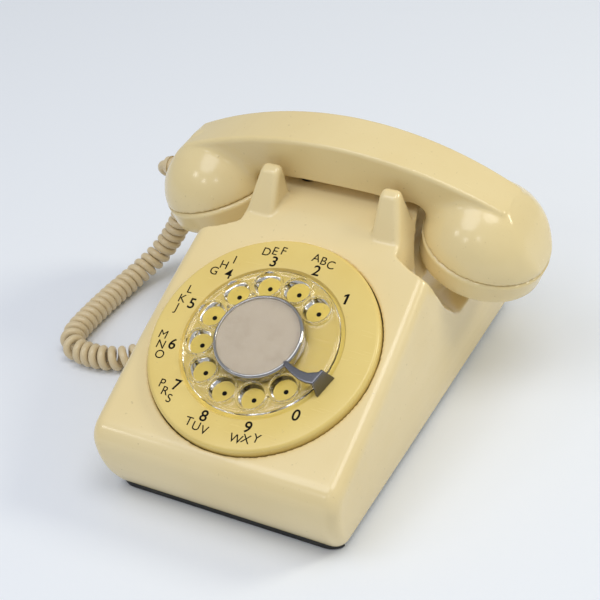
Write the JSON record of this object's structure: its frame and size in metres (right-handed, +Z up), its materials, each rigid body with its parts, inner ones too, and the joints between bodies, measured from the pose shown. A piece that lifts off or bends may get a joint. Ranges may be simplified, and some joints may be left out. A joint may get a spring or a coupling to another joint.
{
  "type": "rotary desk telephone",
  "caption": "Desk telephone with a moulded housing, clear rotary finger wheel on a lettered ring, handset in an eared cradle and curly cord.",
  "frame": {"origin": "on the table under the middle of the telephone's box, cord left out", "axes": "+X to the right as the user sees it, +Y to the rear, +Z up"},
  "size_m": [0.252, 0.2118, 0.1255],
  "materials": {
    "ivory_shell": "warm ivory, moulded, polished",
    "tan_handset": "tan, moulded, polished",
    "cream_ring": "yellowed cream, printed digits and letters",
    "clear_wheel": "clear moulded plastic",
    "bright_chrome": "polished",
    "card_paper": "plain card",
    "cord_sleeve": "soft tan sleeve with a slight sheen",
    "black_rubber": "black",
    "grommet_rubber": "tan",
    "zinc_sheet": "zinc plated sheet",
    "works_brass": "turned and cut",
    "dark_moulding": "dark moulding",
    "coil_copper": "taped winding"
  },
  "bodies": {
    "base": {"base_plate": "zinc_sheet", "cord_grommet": "grommet_rubber", "dial_bracket_left": "zinc_sheet", "dial_bracket_right": "zinc_sheet", "dial_number_ring": "cream_ring", "dial_plate": "zinc_sheet", "dial_post_1": "zinc_sheet", "dial_post_2": "zinc_sheet", "dial_post_3": "zinc_sheet", "dial_rear_plate": "zinc_sheet", "finger_stop": "bright_chrome", "foot_front_left": "black_rubber", "foot_front_right": "black_rubber", "foot_rear_left": "black_rubber", "foot_rear_right": "black_rubber", "gong_left": "works_brass", "gong_right": "works_brass", "gong_screw_left": "zinc_sheet", "gong_screw_right": "zinc_sheet", "governor_cup": "works_brass", "hookswitch_bracket": "zinc_sheet", "hookswitch_springs": "zinc_sheet", "housing": "ivory_shell", "line_cord_inlet": "grommet_rubber", "mainspring": "zinc_sheet", "network_unit": "dark_moulding", "pulse_springs": "zinc_sheet", "ringer_coil": "coil_copper", "ringer_core": "zinc_sheet", "ringer_frame": "zinc_sheet", "volume_bracket": "zinc_sheet"},
    "dial_rotor": {"finger_wheel": "clear_wheel", "dial_shaft": "zinc_sheet", "main_gear": "works_brass", "number_card": "card_paper", "card_cover": "clear_wheel", "card_rim": "bright_chrome"},
    "dial_idler": {"idler": "works_brass", "pulse_cam": "works_brass"},
    "dial_governor": {"governor_shaft": "works_brass", "governor_bar": "works_brass"},
    "cradle_plungers": {"plunger_left": "dark_moulding", "plunger_right": "dark_moulding"},
    "hook_lever": {"hookswitch_lever": "zinc_sheet"},
    "bell_clapper": {"clapper": "zinc_sheet"},
    "ringer_volume": {"volume_wheel": "dark_moulding"},
    "handset": {"handset_handle": "tan_handset", "transmitter_cap": "tan_handset", "receiver_cap": "tan_handset", "transmitter_unit": "dark_moulding", "receiver_unit": "dark_moulding", "cord_bushing": "cord_sleeve", "handset_cord": "cord_sleeve"}
  },
  "joints": [
    {"name": "dial_turn", "type": "hinge", "parent": "base", "child": "dial_rotor", "pos_m": [0.0043, -0.04543, 0.06719], "axis": [0, 0.3746, -0.9272], "range_deg": [0, 318], "stiffness_Nm_per_rad": 0.008, "springref_deg": -85.94},
    {"name": "idler_turn", "type": "hinge", "parent": "base", "child": "dial_idler", "pos_m": [-0.02224, -0.06266, 0.06023], "axis": [0, 0.3746, -0.9272], "range_deg": [-1592, 2]},
    {"name": "governor_turn", "type": "hinge", "parent": "base", "child": "dial_governor", "pos_m": [-0.0122, -0.07595, 0.05486], "axis": [0, 0.3746, -0.9272], "range_deg": [-2, 6364]},
    {"name": "handset_lift", "type": "slide", "parent": "base", "child": "handset", "axis": [0, 0, 1], "range_m": [0, 0.08], "deforming": ["handset_cord"]},
    {"name": "plunger_rise", "type": "slide", "parent": "base", "child": "cradle_plungers", "axis": [0, 0, 1], "range_m": [0, 0.006]},
    {"name": "hook_lever_turn", "type": "hinge", "parent": "base", "child": "hook_lever", "pos_m": [0.0043, 0.02457, 0.079], "axis": [1, 0, 0], "range_deg": [0, 10.5]},
    {"name": "clapper_swing", "type": "hinge", "parent": "base", "child": "bell_clapper", "pos_m": [0.0043, 0.05257, 0.015], "axis": [0, 0, 1], "range_deg": [-3, 3], "stiffness_Nm_per_rad": 0.002},
    {"name": "volume_turn", "type": "hinge", "parent": "base", "child": "ringer_volume", "pos_m": [0.0503, 0.02457, 0.0125], "axis": [1, 0, 0], "range_deg": [-60, 60]}
  ],
  "couplings": [
    {"joint": "idler_turn", "follows": "dial_turn", "ratio": -5},
    {"joint": "governor_turn", "follows": "dial_turn", "ratio": 20},
    {"joint": "plunger_rise", "follows": "handset_lift", "ratio": 0.075},
    {"joint": "hook_lever_turn", "follows": "handset_lift", "rad_per_m": 2.29}
  ]
}
